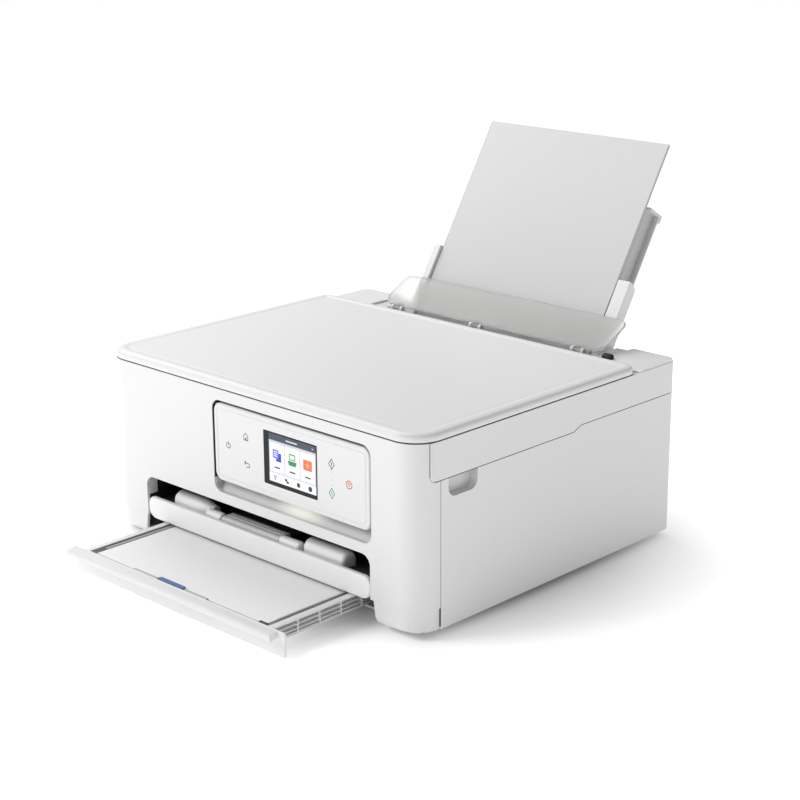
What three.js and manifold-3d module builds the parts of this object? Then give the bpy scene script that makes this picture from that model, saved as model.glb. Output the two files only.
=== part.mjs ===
// A desktop inkjet printer with a flatbed scanner, a paper cassette and a rear paper feed.
// Millimetres, +Z up. X runs left to right seen from the front, and the front faces -Y.
import * as THREE from "three";
import { mergeVertices } from "three/addons/utils/BufferGeometryUtils.js";
import Module from "manifold-3d";

const wasm = await Module();
wasm.setup();

// ---------------------------------------------------------------- driving dimensions
const WIDTH = 376;
const DEPTH = 325;
const HALF_WIDTH = WIDTH / 2;
const FRONT = -DEPTH / 2;
const BACK = DEPTH / 2;
const FRONT_RADIUS = 24;
const REAR_RADIUS = 9;
const WALL = 2.5;
const GAP = 0.4; // clearance between two pieces that meet

const BODY_BOTTOM = 6.5;
const SKIRT_TOP = 24;
const SEAM_FRONT = 128.4;
const SEAM_REAR = 132.4;
const SEAM_STEP_Y = 27;
const CASE_TOP = 159.4;
const SIDE_SEAM_Y = -137.3;
const UPPER_SEAM_Y = -147.2;

const LID_BOTTOM = 160.2;
const LID_TOP = 167;
const LID_REAR = 107;
const LID_AXIS = { y: 103.6, z: 163.2 };

const PANEL = { left: -44.2, right: 137.4, bottom: 80, top: 147.6 };
const PANEL_AXIS = { y: FRONT + 3.9, z: 144.6 };
const RECESS = { left: -45.6, right: 138.8, bottom: 69.5, top: 150 };

const SLOT_HALF = 137;
const SLOT_TOP = 60.6;
const BAR = { half: 136.2, bottom: 22.3, top: 42 };

const TRAY_FRONT = -248;
const TRAY_WALL_HALF = 131;
const TRAY_HALF = 117;
const TRAY_FLOOR = 9;
const TRAY_TOP = 21.4;
const TRAY_REAR = 58;
const LIP_REACH = 8.5;

const PAPER_WIDTH = 210;
const PAPER_LENGTH = 297;
const LEAN = THREE.MathUtils.degToRad(32);
const FEED_FOOT = { y: 96.6, z: 74.1 }; // lowest point of the rear sheets' front face
const REAR_STACK = 3;
const FEED_HALF = 141; // half width of the opening that the rear feeder stands in
const FEED_FRONT = 109;

const RAIL = { y: 46, z: 98, radius: 4 };
const CARRIAGE_PARK_X = 118;
const ROLLER_Z = 70;
const FEED_ROLLER_Y = 40;
const EJECT_ROLLER_Y = -40;
const GEAR_RADIUS = 20;
const GEAR_TEETH = 24;
const PULLEY_RADIUS = 8;
const PULLEY_X = 156;
const PULLEY_Z = 110;

// ---------------------------------------------------------------- materials
const finish = (color, roughness, metalness = 0) =>
  new THREE.MeshStandardMaterial({ color, roughness, metalness, flatShading: true });
const WHITE = finish(0xf1f1f0, 0.5);
const SOFT_WHITE = finish(0xe6e6e5, 0.6);
const GREY = finish(0xa9abad, 0.6);
const DARK = finish(0x1b1c1e, 0.6);
const RUBBER = finish(0x2a2a2b, 0.9);
const STEEL = finish(0xb4b7ba, 0.35, 1);
const PLATED = finish(0x9ea2a5, 0.45, 0.9);
const SCREEN = finish(0x0c1016, 0.1);
const GLASS = finish(0xcfe3e6, 0.05);
const FROSTED = finish(0xd9dad5, 0.45);
const PAPER = finish(0xf7f7f5, 0.85);
const BLUE = finish(0x2c5fae, 0.5);
const BOARD = finish(0x1f5a3a, 0.55);
const FELT = finish(0xd8d5cb, 0.95);

// ---------------------------------------------------------------- solid helpers
function solid(geometry) {
  geometry.deleteAttribute("normal");
  geometry.deleteAttribute("uv");
  const merged = mergeVertices(geometry, 1e-4);
  return new wasm.Manifold(
    new wasm.Mesh({
      numProp: 3,
      vertProperties: merged.attributes.position.array,
      triVerts: new Uint32Array(merged.index.array),
    }),
  );
}

function block(x0, x1, y0, y1, z0, z1) {
  const geometry = new THREE.BoxGeometry(x1 - x0, y1 - y0, z1 - z0);
  geometry.translate((x0 + x1) / 2, (y0 + y1) / 2, (z0 + z1) / 2);
  return solid(geometry);
}

// A block mirrored on both sides of the X middle, given the right one's X range.
const bothSides = (x0, x1, ...rest) => [block(x0, x1, ...rest), block(-x1, -x0, ...rest)];

const join = (first, ...others) => others.reduce((sum, piece) => sum.add(piece), first);
const cut = (first, ...others) => others.reduce((rest, piece) => rest.subtract(piece), first);

// A rectangle with its own radius at each corner, counter-clockwise from the low one.
function roundedShape(u0, u1, v0, v1, lowLeft, lowRight, highRight, highLeft) {
  const shape = new THREE.Shape();
  const corner = (u, v, radius, start) => {
    if (radius > 0) shape.absarc(u, v, radius, start, start + Math.PI / 2, false);
    else shape.lineTo(u, v);
  };
  shape.moveTo(u0 + lowLeft, v0);
  corner(u1 - lowRight, v0 + lowRight, lowRight, -Math.PI / 2);
  corner(u1 - highRight, v1 - highRight, highRight, 0);
  corner(u0 + highLeft, v1 - highLeft, highLeft, Math.PI / 2);
  corner(u0 + lowLeft, v0 + lowLeft, lowLeft, Math.PI);
  return shape;
}

function polygon(points) {
  const shape = new THREE.Shape();
  points.forEach(([u, v], i) => (i ? shape.lineTo(u, v) : shape.moveTo(u, v)));
  return shape;
}

function extruded(shape, depth, curveSegments = 6) {
  return new THREE.ExtrudeGeometry(shape, { depth, bevelEnabled: false, curveSegments });
}

// Shape drawn in X and Y, standing from z0 to z1.
function prismZ(shape, z0, z1, curveSegments) {
  const geometry = extruded(shape, z1 - z0, curveSegments);
  geometry.translate(0, 0, z0);
  return solid(geometry);
}

// Shape drawn in Y and Z, running from x0 to x1.
function prismX(shape, x0, x1, curveSegments) {
  const geometry = extruded(shape, x1 - x0, curveSegments);
  geometry.applyMatrix4(new THREE.Matrix4().set(0, 0, 1, x0, 1, 0, 0, 0, 0, 1, 0, 0, 0, 0, 0, 1));
  return solid(geometry);
}

// Shape drawn in X and Z, running from y0 to y1.
function prismY(shape, y0, y1, curveSegments) {
  const geometry = extruded(shape, y1 - y0, curveSegments);
  geometry.applyMatrix4(new THREE.Matrix4().set(1, 0, 0, 0, 0, 0, -1, y1, 0, 1, 0, 0, 0, 0, 0, 1));
  return solid(geometry);
}

// A cylinder along an axis, centred on two cross coordinates, from low to high along it.
function rod(axis, [a, b], radius, low, high, sides = 16) {
  const geometry = new THREE.CylinderGeometry(radius, radius, high - low, sides);
  const middle = (low + high) / 2;
  if (axis === "x") {
    geometry.rotateZ(Math.PI / 2);
    geometry.translate(middle, a, b);
  } else if (axis === "y") {
    geometry.translate(a, middle, b);
  } else {
    geometry.rotateX(Math.PI / 2);
    geometry.translate(a, b, middle);
  }
  return solid(geometry);
}

// A spur gear drawn in Y and Z. Straight-sided teeth narrow towards the tip and leave backlash.
function gear(y, z, radius, teeth, x0, x1, phase = 0) {
  const pitch = (2 * Math.PI) / teeth;
  const toothSize = (2 * radius) / teeth;
  const tip = radius + 0.75 * toothSize;
  const root = radius - 1.05 * toothSize;
  const points = [];
  for (let i = 0; i < teeth; i++) {
    const middle = phase + i * pitch;
    for (const [r, share] of [[root, -0.26], [tip, -0.1], [tip, 0.1], [root, 0.26]]) {
      const angle = middle + share * pitch;
      points.push([y + r * Math.cos(angle), z + r * Math.sin(angle)]);
    }
  }
  return prismX(polygon(points), x0, x1);
}

const printer = new THREE.Group();

function addMesh(parent, name, shape, material) {
  const mesh = shape.getMesh();
  const geometry = new THREE.BufferGeometry();
  geometry.setAttribute("position", new THREE.BufferAttribute(mesh.vertProperties, 3));
  geometry.setIndex(new THREE.BufferAttribute(mesh.triVerts, 1));
  const node = new THREE.Mesh(geometry, material);
  node.name = name;
  parent.add(node);
}

const add = (name, shape, material) => addMesh(printer, name, shape, material);

// Outline of the whole body seen from above, drawn in by an inset.
function bodyOutline(inset, frontY = FRONT, backY = BACK) {
  const front = Math.max(FRONT_RADIUS - inset, 1);
  const rear = Math.max(REAR_RADIUS - inset, 1);
  const side = HALF_WIDTH - inset;
  return roundedShape(-side, side, frontY + inset, backY - inset, front, front, rear, rear);
}

function bodyShell(z0, z1, inset = 0, wall = WALL) {
  const outer = prismZ(bodyOutline(inset), z0, z1);
  return cut(outer, prismZ(bodyOutline(inset + wall), z0 - 1, z1 + 1));
}

// Side view of the whole body, with its two lower edges rounded.
const lowEdges = (front) =>
  prismX(roundedShape(front, BACK + 0.01, BODY_BOTTOM, 300, 5, 5, 1, 1), -200, 200);

// ---------------------------------------------------------------- lower casing
function baseTray() {
  const floor = prismZ(bodyOutline(WALL + GAP), BODY_BOTTOM, BODY_BOTTOM + 1.8);
  const keepFront = block(-HALF_WIDTH, HALF_WIDTH, FRONT, SIDE_SEAM_Y, 0, SKIRT_TOP + 1);
  const frontSkirt = bodyShell(BODY_BOTTOM, SKIRT_TOP, 1.2).intersect(keepFront)
    .intersect(lowEdges(FRONT + 1.2));
  const innerRim = cut(
    bodyShell(BODY_BOTTOM, SKIRT_TOP - 4, WALL + GAP, 2),
    block(-HALF_WIDTH, HALF_WIDTH, FRONT, SIDE_SEAM_Y - 6, 0, 40),
  );
  const rails = bothSides(124, 127, SIDE_SEAM_Y, 60, BODY_BOTTOM + 1, 20);
  const mouth = polygon([[-142, BODY_BOTTOM - 1], [142, BODY_BOTTOM - 1], [138.5, 30], [-138.5, 30]]);
  const trimmed = cut(join(floor, frontSkirt, innerRim), prismY(mouth, FRONT - 1, SIDE_SEAM_Y - 8));
  return join(trimmed, ...rails);
}
add("base_tray", baseTray(), WHITE);

const FOOT_X = 158;
const FOOT_Y = 132;
for (const [side, x] of [["left", -FOOT_X], ["right", FOOT_X]])
  for (const [end, y] of [["front", -FOOT_Y], ["rear", FOOT_Y]])
    add(`foot_${end}_${side}`, rod("z", [x, y], 9, 0, BODY_BOTTOM - 0.3, 20), RUBBER);

// The parting line between the lower covers and the scanner casing, with its small step.
function seamProfile(drop) {
  return [
    [UPPER_SEAM_Y - 0.5, SEAM_FRONT - drop],
    [SEAM_STEP_Y - 5, SEAM_FRONT - drop],
    [SEAM_STEP_Y + 5, SEAM_REAR - drop],
    [BACK + 1, SEAM_REAR - drop],
  ];
}
const below = (drop) => [...seamProfile(drop), [BACK + 1, -10], [UPPER_SEAM_Y - 0.5, -10]].reverse();
const above = (drop) => [...seamProfile(drop), [BACK + 1, 300], [UPPER_SEAM_Y - 0.5, 300]];

// Each side cover has a closed pocket under the parting line, for the fingers that raise the
// scanner unit.
const SCOOP = { front: -128.4, rear: -95.4, bottom: 112, depth: 8 };
function sideCover(sign) {
  const { front, rear, bottom } = SCOOP;
  const pocketEnd = HALF_WIDTH - SCOOP.depth;
  const region = block(172, HALF_WIDTH + 1, SIDE_SEAM_Y + GAP, BACK + 1, 0, 200);
  const cup = block(pocketEnd - 2, HALF_WIDTH - 1, front - 2, rear + 2, bottom - 2, 140);
  const mouth = roundedShape(front, rear, bottom, SEAM_FRONT + 1, 8, 8, 0, 0);
  const wall = join(bodyShell(BODY_BOTTOM, SEAM_REAR + 2).intersect(region), cup);
  const trimmed = wall.intersect(prismX(polygon(below(GAP)), 0, 200));
  const cover = cut(trimmed.intersect(lowEdges(FRONT)), prismX(mouth, pocketEnd, HALF_WIDTH + 1));
  return sign > 0 ? cover : cover.mirror([1, 0, 0]);
}
add("left_cover", sideCover(-1), WHITE);
add("right_cover", sideCover(1), WHITE);

const INLET = { x: -152, z: 34, width: 21, height: 14 };
const USB = { x: -88, z: 60, width: 12, height: 11 };
function rearCover() {
  const plate = block(-171.6, 171.6, BACK - WALL, BACK, BODY_BOTTOM + 2.2, SEAM_REAR - 2);
  const port = (p, grow) =>
    block(p.x - p.width / 2 - grow, p.x + p.width / 2 + grow, BACK - 9, BACK + 1,
      p.z - p.height / 2 - grow, p.z + p.height / 2 + grow);
  const vents = [0, 1, 2, 3, 4, 5].map((i) => {
    const x = 70 + i * 14;
    return block(x, x + 8, BACK - 9, BACK + 1, 78, 81);
  });
  return cut(plate.intersect(lowEdges(FRONT)), port(INLET, 3.4), port(USB, 2.4), ...vents);
}
add("rear_cover", rearCover(), WHITE);

function socket(p, grow, depth) {
  const body = block(p.x - p.width / 2 - grow, p.x + p.width / 2 + grow, BACK - 22, BACK - 0.4,
    p.z - p.height / 2 - grow, p.z + p.height / 2 + grow);
  const mouth = block(p.x - p.width / 2, p.x + p.width / 2, BACK - depth, BACK + 1,
    p.z - p.height / 2, p.z + p.height / 2);
  return cut(body, mouth);
}
function powerInlet() {
  const pins = [-4.5, 4.5].map((dx) => rod("y", [INLET.x + dx, INLET.z], 1.2, BACK - 15, BACK - 4, 10));
  return join(socket(INLET, 3, 14), ...pins);
}
add("power_inlet", powerInlet(), DARK);
function usbPort() {
  const tongue = block(USB.x - 2.8, USB.x + 2.8, BACK - 12, BACK - 3, USB.z - 1.6, USB.z + 1.6);
  return join(socket(USB, 2, 11), tongue);
}
add("usb_port", usbPort(), PLATED);

// The scanner casing's lower front corners are rounded, and the front cover follows them.
const CORNER = 4;
function cornerRegion(margin, radius) {
  const centre = [UPPER_SEAM_Y + CORNER, SEAM_FRONT + CORNER];
  const low = [UPPER_SEAM_Y - margin, SEAM_FRONT - margin];
  const arc = [0, 1, 2, 3, 4, 5, 6].map((k) => {
    const angle = -Math.PI / 2 - (k * Math.PI) / 12;
    return [centre[0] + radius * Math.cos(angle), centre[1] + radius * Math.sin(angle)];
  });
  return polygon([low, [centre[0], low[1]], ...arc, [low[0], centre[1]]]);
}
function frontCover() {
  const upperShell = bodyShell(SKIRT_TOP + GAP, CASE_TOP);
  const keepLow = block(-190, 190, FRONT - 1, SIDE_SEAM_Y, 0, SEAM_FRONT - GAP);
  const keepHigh = block(-190, 190, FRONT - 1, UPPER_SEAM_Y - GAP, SEAM_FRONT - GAP - 1, 200);
  const walls = upperShell.intersect(join(keepLow, keepHigh));
  const shelf = prismZ(bodyOutline(0.5), CASE_TOP - WALL, CASE_TOP)
    .intersect(block(-190, 190, FRONT, UPPER_SEAM_Y - GAP, 100, 200));
  const slot = roundedShape(-SLOT_HALF, SLOT_HALF, 0, SLOT_TOP, 0, 0, 9, 9);
  const recess = roundedShape(RECESS.left, RECESS.right, RECESS.bottom, RECESS.top, 9, 9, 9, 9);
  const corners = bodyShell(SEAM_FRONT - 2, SEAM_FRONT + CORNER + 1)
    .intersect(prismX(cornerRegion(GAP + 0.3, CORNER + GAP), -200, 200));
  return cut(join(walls, shelf, corners),
    prismY(slot, FRONT - 1, SIDE_SEAM_Y + 1),
    prismY(recess, FRONT - 1, FRONT + WALL + 1));
}
add("front_cover", frontCover(), WHITE);

// ---------------------------------------------------------------- control panel
const RECESS_FRONT = FRONT + WALL + 0.3;
const RECESS_BACK = UPPER_SEAM_Y - 1.2;
function panelRecess() {
  const { left, right, bottom, top } = RECESS;
  const outer = roundedShape(left - 3, right + 3, bottom - 3, top + 3, 9, 9, 9, 9);
  const inner = roundedShape(left, right, bottom, top, 9, 9, 9, 9);
  const cup = cut(
    prismY(outer, RECESS_FRONT, RECESS_BACK),
    prismY(inner, RECESS_FRONT - 1, RECESS_BACK - 1.8),
  );
  const ramp = prismX(
    polygon([
      [RECESS_FRONT, bottom - 1],
      [RECESS_BACK - 1, bottom - 1],
      [RECESS_BACK - 1, bottom + 10],
    ]),
    left + 2, right - 2,
  );
  const ears = [left - 2, right - 3].map((x) =>
    rod("x", [PANEL_AXIS.y, PANEL_AXIS.z], 1.6, x, x + 5, 12));
  return cut(join(cup, ramp), ...ears);
}
add("panel_recess", panelRecess(), WHITE);

const SCREEN_AREA = { left: 16.8, right: 79.4, bottom: 91.4, top: 137 };
function controlPanel() {
  const { left, right, bottom, top } = PANEL;
  const face = roundedShape(left, right, bottom, top, 8, 8, 8, 8);
  const inner = roundedShape(left + 2, right - 2, bottom + 2, top - 2, 6, 6, 6, 6);
  const dish = cut(prismY(face, FRONT + 0.4, FRONT + 7), prismY(inner, FRONT + 2.9, FRONT + 8));
  const seat = block(SCREEN_AREA.left - 0.3, SCREEN_AREA.right + 0.3, FRONT - 1, FRONT + 4,
    SCREEN_AREA.bottom - 0.3, SCREEN_AREA.top + 0.3);
  const pins = [[left - 2, left + 6], [right - 6, right + 2]].map(([x0, x1]) =>
    rod("x", [PANEL_AXIS.y, PANEL_AXIS.z], 1.1, x0, x1, 10));
  return cut(join(dish, ...pins), seat);
}
add("control_panel", controlPanel(), WHITE);
add("touch_screen",
  block(SCREEN_AREA.left, SCREEN_AREA.right, FRONT + 0.5, FRONT + 4.6,
    SCREEN_AREA.bottom, SCREEN_AREA.top),
  SCREEN);

// ---------------------------------------------------------------- output slot and output tray
function outputFrame() {
  const top = SLOT_TOP + 2.4;
  const reach = SLOT_HALF + 1;
  const walls = bothSides(SLOT_HALF + 0.4, SLOT_HALF + 2.4, FRONT + 4.2, -50, 22, top);
  const ceiling = block(-reach, reach, FRONT + WALL + 0.3, -112, SLOT_TOP + 0.6, top);
  const ledges = bothSides(128, reach, -150, -52, 22, 24);
  return join(ceiling, ...walls, ...ledges);
}
add("output_frame", outputFrame(), DARK);

const TRAY_PLATE = { front: FRONT + 4, rear: -62, bottom: 34.4, top: 36.6 };
const LOBES = [[-110, -66], [53, 100]];
const KNUCKLES = [[-65, -46], [26, 50]];
const HINGE_LINE = { y: FRONT + 9, z: 40.6 };
function outputTray() {
  const { front, rear, bottom, top } = TRAY_PLATE;
  const barShape = roundedShape(-BAR.half, BAR.half, BAR.bottom, BAR.top, 9, 9, 7, 7);
  const bar = prismY(barShape, FRONT, front);
  const plate = block(-134, 134, front - 1, rear, bottom, top);
  const rails = bothSides(129, 133.5, front - 1, rear, 25, bottom + 1);
  const lobes = LOBES.map(([x0, x1]) =>
    rod("x", [HINGE_LINE.y + 6, 42], 8.6, x0, x1, 28)
      .intersect(block(x0, x1, -190, -100, bottom, 60)));
  const knuckles = KNUCKLES.map(([x0, x1]) => join(
    rod("x", [HINGE_LINE.y, HINGE_LINE.z], 4, x0, x1, 20),
    block(x0, x1, HINGE_LINE.y - 4, HINGE_LINE.y + 4, bottom, HINGE_LINE.z),
  ));
  return join(bar, plate, ...rails, ...lobes, ...knuckles);
}
add("output_tray", outputTray(), WHITE);

function outputSupport() {
  const x0 = KNUCKLES[0][1] + 0.5;
  const x1 = KNUCKLES[1][0] - 0.5;
  const leaf = block(x0, x1, HINGE_LINE.y, -82, HINGE_LINE.z - 1.5, HINGE_LINE.z + 2.4);
  const barrel = rod("x", [HINGE_LINE.y, HINGE_LINE.z], 3.6, x0, x1, 20);
  const ribs = [-34, -24, -14, -4, 6, 16].map((x) =>
    block(x, x + 1.6, HINGE_LINE.y + 4, -84, HINGE_LINE.z + 2, HINGE_LINE.z + 3.4));
  return join(leaf, barrel, ...ribs);
}
add("output_support", outputSupport(), SOFT_WHITE);

// ---------------------------------------------------------------- paper cassette
const CASSETTE_PAPER = { top: 20.2, front: TRAY_FRONT + 4.6 };
function cassette() {
  const floor = block(-TRAY_HALF, TRAY_HALF, TRAY_FRONT + 1, TRAY_REAR, TRAY_FLOOR, TRAY_FLOOR + 1.6);
  const wall = prismY(
    roundedShape(-TRAY_WALL_HALF, TRAY_WALL_HALF, 1.2, 21.6, 2, 2, 1, 1), TRAY_FRONT, TRAY_FRONT + 2.4);
  const lip = prismX(
    polygon([
      [TRAY_FRONT - LIP_REACH, 15.6], [TRAY_FRONT - LIP_REACH + 2.5, 14.6], [TRAY_FRONT + 0.5, 17.6],
      [TRAY_FRONT + 0.5, 21.2], [TRAY_FRONT - LIP_REACH + 0.6, 20.6], [TRAY_FRONT - LIP_REACH, 19.8],
    ]),
    -TRAY_WALL_HALF + 2, TRAY_WALL_HALF - 7);
  const sideRails = bothSides(TRAY_HALF - 2, TRAY_HALF, TRAY_FRONT + 1, TRAY_REAR, TRAY_FLOOR, TRAY_TOP);
  const topRails = bothSides(TRAY_HALF - 6, TRAY_HALF, TRAY_FRONT + 1, TRAY_REAR, TRAY_TOP - 1.6, TRAY_TOP);
  const rear = block(-TRAY_HALF, TRAY_HALF, TRAY_REAR - 2, TRAY_REAR, TRAY_FLOOR, 18);
  const windows = [];
  const cell = 23;
  const rows = [[TRAY_FLOOR + 1.7, TRAY_FLOOR + 5.2], [TRAY_FLOOR + 6.4, TRAY_TOP - 1.7]];
  for (let y = TRAY_FRONT + 5; y + cell < TRAY_REAR - 4; y += cell)
    for (const [z0, z1] of rows)
      windows.push(...bothSides(TRAY_HALF - 3, TRAY_HALF + 1, y, y + cell - 1.8, z0, z1));
  const body = cut(join(floor, wall, lip, rear, ...sideRails, ...topRails), ...windows);
  const grip = block(-45, 45, TRAY_FRONT - 1, TRAY_FRONT + 0.8, 5, 12);
  return cut(body, grip);
}
add("cassette", cassette(), WHITE);
add("cassette_paper",
  block(-PAPER_WIDTH / 2, PAPER_WIDTH / 2, CASSETTE_PAPER.front, CASSETTE_PAPER.front + PAPER_LENGTH,
    TRAY_FLOOR + 2, CASSETTE_PAPER.top),
  PAPER);

function cassetteGuide(sign) {
  const inner = PAPER_WIDTH / 2 + 0.3;
  const plate = block(inner, inner + 1.8, -232, -60, TRAY_FLOOR + 2, CASSETTE_PAPER.top + 0.9);
  return sign > 0 ? plate : plate.mirror([1, 0, 0]);
}
add("cassette_guide_left", cassetteGuide(-1), GREY);
add("cassette_guide_right", cassetteGuide(1), GREY);
function frontGuide() {
  const stem = block(-22, 8, TRAY_FRONT + 2.7, TRAY_FRONT + 4.3, TRAY_FLOOR + 2, 21);
  const tab = roundedShape(-23, 9, TRAY_FRONT + 2.7, TRAY_FRONT + 7.4, 0.6, 0.6, 2, 2);
  return join(stem, prismZ(tab, CASSETTE_PAPER.top + 0.4, CASSETTE_PAPER.top + 1.7));
}
add("cassette_front_guide", frontGuide(), BLUE);

// ---------------------------------------------------------------- inner frame and print engine
const ARM_PIVOT = { y: 61.5, z: 39 }; // the pick-up arm swings on a shaft between the cheeks
function mainChassis() {
  const back = block(-168, 168, 68, 70, 76, 124);
  const legs = bothSides(122, 168, 68, 70, BODY_BOTTOM + 2.2, 77);
  const cheeks = bothSides(166, 168, -52, 69, 58, 124);
  const feet = bothSides(166, 168, -52, 69, BODY_BOTTOM + 2.2, 60);
  const bores = [
    rod("x", [RAIL.y, RAIL.z], RAIL.radius + 0.15, -180, 180, 20),
    rod("x", [FEED_ROLLER_Y, ROLLER_Z], 3.4, -180, 180, 16),
    rod("x", [EJECT_ROLLER_Y, ROLLER_Z], 3.4, -180, 180, 16),
    rod("x", [0, ROLLER_Z], 3.4, -180, 0, 16),
    rod("x", [FEED_ROLLER_Y, 40], 3.4, -180, 0, 16),
    rod("x", [ARM_PIVOT.y, ARM_PIVOT.z], 2.9, -180, 180, 14),
    rod("y", [-PULLEY_X, PULLEY_Z], 3.4, 60, 80, 16),
    rod("y", [PULLEY_X, PULLEY_Z], 3.4, 60, 80, 16),
  ];
  return cut(join(back, ...legs, ...cheeks, ...feet), ...bores);
}
add("main_chassis", mainChassis(), STEEL);
add("guide_shaft", rod("x", [RAIL.y, RAIL.z], RAIL.radius, -171, 171, 20), STEEL);

function platen() {
  const bed = block(-124, 124, -28, 29, 58, 69);
  const ribs = [];
  for (let x = -110; x <= 110; x += 22) ribs.push(block(x - 0.8, x + 0.8, -26, 27, 68, 71));
  return join(bed, ...ribs);
}
add("platen", platen(), DARK);

const TURN = { y: 73, z: 46 };
function turnGuide() {
  const shape = new THREE.Shape();
  shape.absarc(TURN.y, TURN.z, 27, -Math.PI / 2, Math.PI / 2, false);
  shape.absarc(TURN.y, TURN.z, 24.5, Math.PI / 2, -Math.PI / 2, true);
  return prismX(shape, -114, 114, 10);
}
add("paper_turn_guide", turnGuide(), DARK);

// Flat disc wheels on a shaft: the line-feed and eject rollers.
function rollerShaft(y, radius, gearPhase) {
  const shaft = rod("x", [y, ROLLER_Z], 3, -176, 171, 14);
  const sleeve = rod("x", [y, ROLLER_Z], radius, -118, 118, 20);
  const wheel = gear(y, ROLLER_Z, GEAR_RADIUS, GEAR_TEETH, -176, -171, gearPhase);
  return join(shaft, sleeve, wheel);
}
add("feed_roller", rollerShaft(FEED_ROLLER_Y, 6, 0), DARK);
add("eject_roller", rollerShaft(EJECT_ROLLER_Y, 6, 0), DARK);
add("idler_gear",
  join(
    gear(0, ROLLER_Z, GEAR_RADIUS, GEAR_TEETH, -176, -171, Math.PI / GEAR_TEETH),
    rod("x", [0, ROLLER_Z], 3, -176, -160, 14),
  ),
  SOFT_WHITE);
add("motor_pinion",
  join(
    gear(FEED_ROLLER_Y, 40, GEAR_RADIUS / 2, GEAR_TEETH / 2, -176, -171, Math.PI / 12),
    rod("x", [FEED_ROLLER_Y, 40], 2, -176, -152.5, 12),
  ),
  PLATED);
function feedMotor() {
  const can = rod("x", [FEED_ROLLER_Y, 40], 13, -165.6, -140, 28);
  return cut(can, rod("x", [FEED_ROLLER_Y, 40], 2.4, -170, -150, 12));
}
add("feed_motor", feedMotor(), STEEL);

const PICKUP = { y: 32, z: 33, radius: 12.3 };
function pickupRoller() {
  const tyre = rod("x", [PICKUP.y, PICKUP.z], PICKUP.radius, -16, 16, 28);
  return join(tyre, rod("x", [PICKUP.y, PICKUP.z], 2.6, -24, 24, 12));
}
add("pickup_roller", pickupRoller(), RUBBER);
function pickupArm() {
  const low = PICKUP.z - 5;
  const high = PICKUP.z + 9;
  const arms = bothSides(18, 21.5, PICKUP.y - 6, ARM_PIVOT.y + 4, low, high);
  const bridge = block(-21.5, 21.5, 52, 56, PICKUP.z - 2, high);
  const shaft = rod("x", [ARM_PIVOT.y, ARM_PIVOT.z], 2.5, -167.4, 167.4, 14);
  return cut(join(bridge, shaft, ...arms), rod("x", [PICKUP.y, PICKUP.z], 2.9, -30, 30, 14));
}
add("pickup_arm", pickupArm(), GREY);

function purgeUnit() {
  const box = block(128, 162, -30, 28, 40, 68);
  const cap = block(133, 157, -14, 14, 67, 74.4);
  return cut(join(box, cap), block(135, 155, -12, 12, 70, 80));
}
add("purge_unit", purgeUnit(), DARK);

// Carriage and its two cartridges.
const CARRIAGE = { left: CARRIAGE_PARK_X - 44, right: CARRIAGE_PARK_X + 44 };
function carriage() {
  const front = block(CARRIAGE.left, CARRIAGE.right, -34, 34, 76, 118);
  const rear = block(CARRIAGE.left + 4, CARRIAGE.right - 4, 33, 57, 88, 118);
  const clip = block(CARRIAGE_PARK_X - 10, CARRIAGE_PARK_X + 10, 56, 60, 98, 104);
  const pockets = [-41, 1.5].map((dx) =>
    block(CARRIAGE_PARK_X + dx, CARRIAGE_PARK_X + dx + 39.5, -31, 29, 79, 130));
  const entries = [-39, 3.5].map((dx) =>
    block(CARRIAGE_PARK_X + dx, CARRIAGE_PARK_X + dx + 35.5, -40, -20, 96, 130));
  const bore = rod("x", [RAIL.y, RAIL.z], RAIL.radius + 0.35, 0, 300, 20);
  return cut(join(front, rear, clip), ...pockets, ...entries, bore);
}
add("carriage", carriage(), DARK);
function cartridge(dx) {
  const x0 = CARRIAGE_PARK_X + dx + 1;
  const body = prismX(
    polygon([[-29, 80], [27, 80], [27, 114], [18, 121], [-24, 121], [-29, 112]]), x0, x0 + 37.5);
  return join(body, block(x0 + 8, x0 + 29, -30.4, -28, 106, 110));
}
add("black_cartridge", cartridge(-41), DARK);
add("color_cartridge", cartridge(1.5), GREY);

// Belt drive of the carriage.
const BELT = { y0: 60.6, y1: 65.6, thickness: 1.2 };
function stadium(radius) {
  const shape = new THREE.Shape();
  shape.absarc(PULLEY_X, PULLEY_Z, radius, -Math.PI / 2, Math.PI / 2, false);
  shape.absarc(-PULLEY_X, PULLEY_Z, radius, Math.PI / 2, (3 * Math.PI) / 2, false);
  return shape;
}
function belt() {
  const inner = PULLEY_RADIUS + 0.35;
  return cut(
    prismY(stadium(inner + BELT.thickness), BELT.y0, BELT.y1, 10),
    prismY(stadium(inner), BELT.y0 - 1, BELT.y1 + 1, 10),
  );
}
add("carriage_belt", belt(), RUBBER);
function pulley(x, shaftEnd) {
  const wheel = rod("y", [x, PULLEY_Z], PULLEY_RADIUS, BELT.y0, BELT.y1, 24);
  const spline = block(x - 3.2, x + 3.2, BELT.y0 - 1.2, BELT.y0 + 1, PULLEY_Z - 0.9, PULLEY_Z + 0.9);
  return join(wheel, spline, rod("y", [x, PULLEY_Z], 2.5, BELT.y1 - 1, shaftEnd, 12));
}
add("motor_pulley", pulley(-PULLEY_X, 76), PLATED);
add("idler_pulley", pulley(PULLEY_X, 73), SOFT_WHITE);
function carriageMotor() {
  const can = rod("y", [-PULLEY_X, PULLEY_Z], 14, 70.4, 92, 28);
  return cut(can, rod("y", [-PULLEY_X, PULLEY_Z], 3, 69, 80, 14));
}
add("carriage_motor", carriageMotor(), STEEL);

add("main_board", block(176.4, 178, -70, 60, 34, 118), BOARD);
add("power_supply", block(-166, -60, 101, 139, 12, 50), DARK);
add("ink_absorber", block(60, 164, 101, 144, 12, 46), FELT);

// ---------------------------------------------------------------- rear feeder
const CHEEK = 125.5;
const FLAP_AXIS = { y: 121, z: 162.6 };
const FLAP_KNUCKLES = [-106, -7, 112];
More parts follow.
